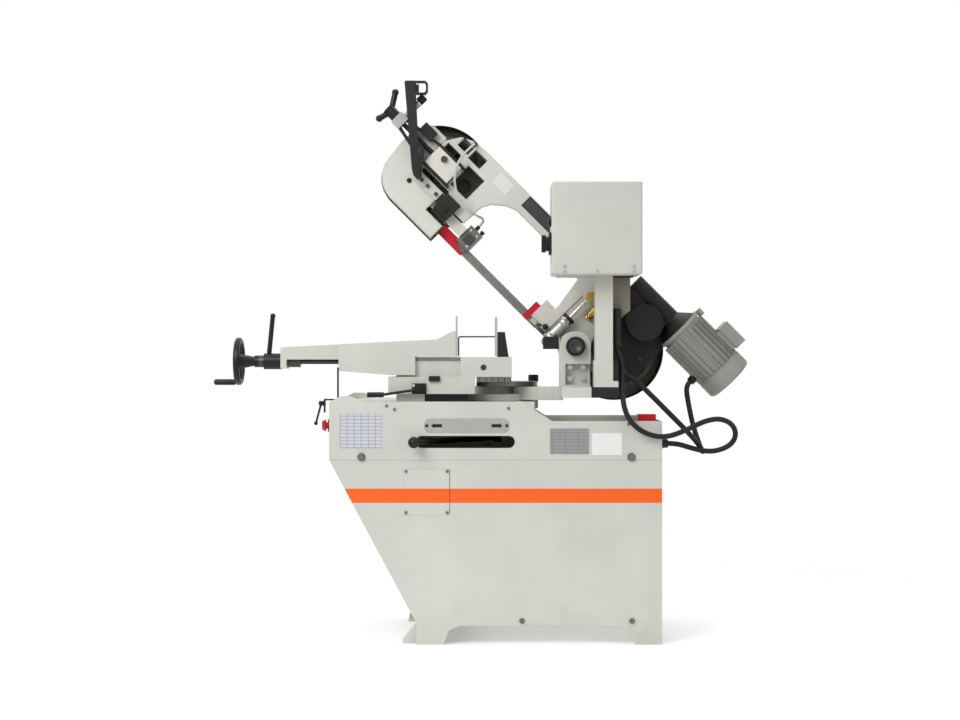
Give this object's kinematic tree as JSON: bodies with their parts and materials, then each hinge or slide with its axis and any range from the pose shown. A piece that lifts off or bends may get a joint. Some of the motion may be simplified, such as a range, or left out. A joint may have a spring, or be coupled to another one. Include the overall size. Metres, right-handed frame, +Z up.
{
  "type": "metal cutting band saw",
  "caption": "Free-standing band saw for metal bars: a pivoting bow with motor and blade wheels on a swivel arm, screw vice, electrical box and folded sheet stand with a coolant tank.",
  "frame": {"origin": "on the floor, at the middle of the four anchor holes", "axes": "+Z up, +X along the stand towards the motor, -Y towards the side with the electrical box"},
  "size_m": [1.8016, 0.691, 1.89],
  "materials": {
    "grey_paint": "light warm grey paint",
    "shaded_paint": "beige grey paint",
    "white_paint": "white paint",
    "black_paint": "black paint",
    "motor_paint": "motor grey paint",
    "red_paint": "red paint",
    "steel": "machined steel",
    "blade_steel": "band steel",
    "iron": "cast iron",
    "brass": "bright brass",
    "bronze": "bearing bronze",
    "black_plastic": "black plastic",
    "red_plastic": "red plastic",
    "green_plastic": "green plastic",
    "conduit": "black conduit"
  },
  "bodies": {
    "base": {"lower_stand": "grey_paint", "upper_box": "grey_paint", "access_cover": "grey_paint", "panel_screws": "steel", "chip_tray": "shaded_paint", "coolant_tank": "shaded_paint", "tray_cap": "red_plastic", "swivel_bed": "steel", "stop_bracket": "black_paint", "conduit_a": "conduit"},
    "lock_lever": {"swivel_lock_lever": "black_paint"},
    "stop": {"stop_button": "red_plastic"},
    "stop_clamp": {"stop_clamp_lever": "black_paint"},
    "vice": {"vice_bed": "grey_paint", "work_stop": "steel", "fixed_jaw_plate": "steel"},
    "vice_jaw": {"vice_arm": "grey_paint", "moving_jaw_plate": "steel"},
    "screw": {"vice_screw": "steel"},
    "crank": {"crank_grip": "black_plastic"},
    "quick": {"quick_lever": "black_paint"},
    "vice_lock": {"vice_lock_lever": "black_paint"},
    "swivel": {"swivel_arm": "iron", "pivot_block": "grey_paint", "swivel_screws": "steel", "pivot_bushes": "bronze", "column": "grey_paint", "panel_shell": "grey_paint", "panel_cover": "grey_paint"},
    "main_switch": {"main_switch_knob": "red_plastic"},
    "start": {"start_button": "green_plastic"},
    "table_lock": {"table_knob": "black_plastic"},
    "bow": {"bow_frame": "grey_paint", "pivot_shaft": "black_paint", "rear_cover": "black_paint", "front_cover": "white_paint", "blade": "blade_steel", "gear_case": "black_paint", "motor_body": "motor_paint", "fan_cover": "motor_paint", "tension_bracket": "black_paint", "pull_handle": "black_plastic", "guide_clamp": "grey_paint", "fixed_guide": "shaded_paint", "fixed_guard": "red_paint", "brass_valve": "brass", "coolant_tube": "conduit", "conduit_b": "conduit"},
    "carriage": {"tension_carriage": "shaded_paint"},
    "idle": {"idle_wheel": "iron"},
    "tension": {"tension_handle": "black_paint"},
    "drive": {"drive_wheel": "iron"},
    "layshaft": {"layshaft_gears": "bronze"},
    "rotor": {"motor_rotor": "steel"},
    "clamp_knob": {"guide_knob": "black_plastic"},
    "guide": {"guide_bar": "white_paint", "slide_guard": "red_paint"},
    "trigger": {"trigger": "black_plastic"},
    "barrel": {"damper_barrel": "steel"},
    "piston": {"damper_rod": "steel"}
  },
  "joints": [
    {"name": "swivel_turn", "type": "hinge", "parent": "base", "child": "swivel", "pos_m": [-0.1, 0, 0.83], "axis": [0, 0, 1], "range_deg": [-45, 0], "deforming": ["conduit_a"]},
    {"name": "bow_tilt", "type": "hinge", "parent": "swivel", "child": "bow", "pos_m": [0.16, -0.16, 0.985], "axis": [0, 1, 0], "range_deg": [-45, 8], "deforming": ["conduit_b"]},
    {"name": "drive_spin", "type": "hinge", "parent": "bow", "child": "drive", "pos_m": [0.31203, 0, 0.98146], "axis": [0, 1, 0], "continuous": true},
    {"name": "idle_spin", "type": "hinge", "parent": "carriage", "child": "idle", "pos_m": [-0.28548, 0, 1.57897], "axis": [0, 1, 0], "continuous": true},
    {"name": "lay_spin", "type": "hinge", "parent": "bow", "child": "layshaft", "pos_m": [0.39575, -0.13, 1.06519], "axis": [0, 1, 0], "continuous": true},
    {"name": "rotor_spin", "type": "hinge", "parent": "bow", "child": "rotor", "pos_m": [0.57988, -0.14, 0.98062], "axis": [0.7071, 0, -0.7071], "continuous": true},
    {"name": "tension_turn", "type": "hinge", "parent": "bow", "child": "tension", "pos_m": [-0.4566, -0.082, 1.78262], "axis": [0.7071, 0, -0.7071], "range_deg": [-5, 1085]},
    {"name": "tension_slide", "type": "slide", "parent": "bow", "child": "carriage", "axis": [0.7071, 0, -0.7071], "range_m": [0, 0.006]},
    {"name": "guide_slide", "type": "slide", "parent": "bow", "child": "guide", "axis": [0.7071, 0, -0.7071], "range_m": [0, 0.09], "deforming": ["coolant_tube"]},
    {"name": "clamp_turn", "type": "hinge", "parent": "bow", "child": "clamp_knob", "pos_m": [-0.28194, -0.098, 1.45805], "axis": [0, 1, 0], "range_deg": [0, 180]},
    {"name": "trigger_press", "type": "slide", "parent": "bow", "child": "trigger", "axis": [-1, 0, 0], "range_m": [0, 0.005], "stiffness_N_per_m": 600, "springref_m": -0.002},
    {"name": "vice_shift", "type": "slide", "parent": "base", "child": "vice", "axis": [0, 1, 0], "range_m": [0, 0.04]},
    {"name": "jaw_slide", "type": "slide", "parent": "vice", "child": "vice_jaw", "axis": [1, 0, 0], "range_m": [-0.121, 0.125]},
    {"name": "screw_turn", "type": "hinge", "parent": "vice_jaw", "child": "screw", "pos_m": [-0.9, -0.17, 0.935], "axis": [1, 0, 0], "range_deg": [-7200, 7380]},
    {"name": "crank_spin", "type": "hinge", "parent": "screw", "child": "crank", "pos_m": [-1.01, -0.17, 0.865], "axis": [1, 0, 0], "continuous": true},
    {"name": "quick_turn", "type": "hinge", "parent": "vice_jaw", "child": "quick", "pos_m": [-0.858, -0.17, 0.935], "axis": [1, 0, 0], "range_deg": [-60, 0]},
    {"name": "vice_lock_turn", "type": "hinge", "parent": "vice", "child": "vice_lock", "pos_m": [-0.363, -0.25, 0.844], "axis": [0, 1, 0], "range_deg": [0, 60]},
    {"name": "lock_turn", "type": "hinge", "parent": "base", "child": "lock_lever", "pos_m": [-0.1, 0, 0.669], "axis": [0, 0, 1], "range_deg": [0, 44]},
    {"name": "switch_turn", "type": "hinge", "parent": "swivel", "child": "main_switch", "pos_m": [0.06, -0.3105, 1.321], "axis": [1, 0, 0], "range_deg": [0, 90]},
    {"name": "start_press", "type": "slide", "parent": "swivel", "child": "start", "axis": [1, 0, 0], "range_m": [0, 0.004], "stiffness_N_per_m": 600, "springref_m": -0.002},
    {"name": "stop_press", "type": "slide", "parent": "base", "child": "stop", "axis": [1, 0, 0], "range_m": [0, 0.006], "stiffness_N_per_m": 600, "springref_m": -0.002},
    {"name": "stop_clamp_turn", "type": "hinge", "parent": "base", "child": "stop_clamp", "pos_m": [-0.685, -0.279, 0.796], "axis": [0, 1, 0], "range_deg": [-10, 60]},
    {"name": "table_lock_turn", "type": "hinge", "parent": "base", "child": "table_lock", "pos_m": [0.03, 0.134, 0.86], "axis": [0, 0, 1], "range_deg": [0, 180]},
    {"name": "barrel_swing", "type": "hinge", "parent": "swivel", "child": "barrel", "pos_m": [0.0645, -0.093, 1.0027], "axis": [0, 1, 0], "range_deg": [-40, 8]},
    {"name": "piston_slide", "type": "slide", "parent": "barrel", "child": "piston", "axis": [0.7071, 0, 0.7071], "range_m": [-0.074, 0.014]}
  ],
  "couplings": [
    {"joint": "idle_spin", "follows": "drive_spin", "ratio": 1},
    {"joint": "lay_spin", "follows": "drive_spin", "ratio": -2.4706},
    {"joint": "rotor_spin", "follows": "drive_spin", "ratio": 34.588},
    {"joint": "tension_turn", "follows": "tension_slide", "rad_per_m": 3141.6},
    {"joint": "jaw_slide", "follows": "screw_turn", "m_per_rad": 0.00095493},
    {"joint": "barrel_swing", "follows": "bow_tilt", "ratio": 0.862},
    {"joint": "piston_slide", "follows": "bow_tilt", "m_per_rad": 0.0915}
  ]
}
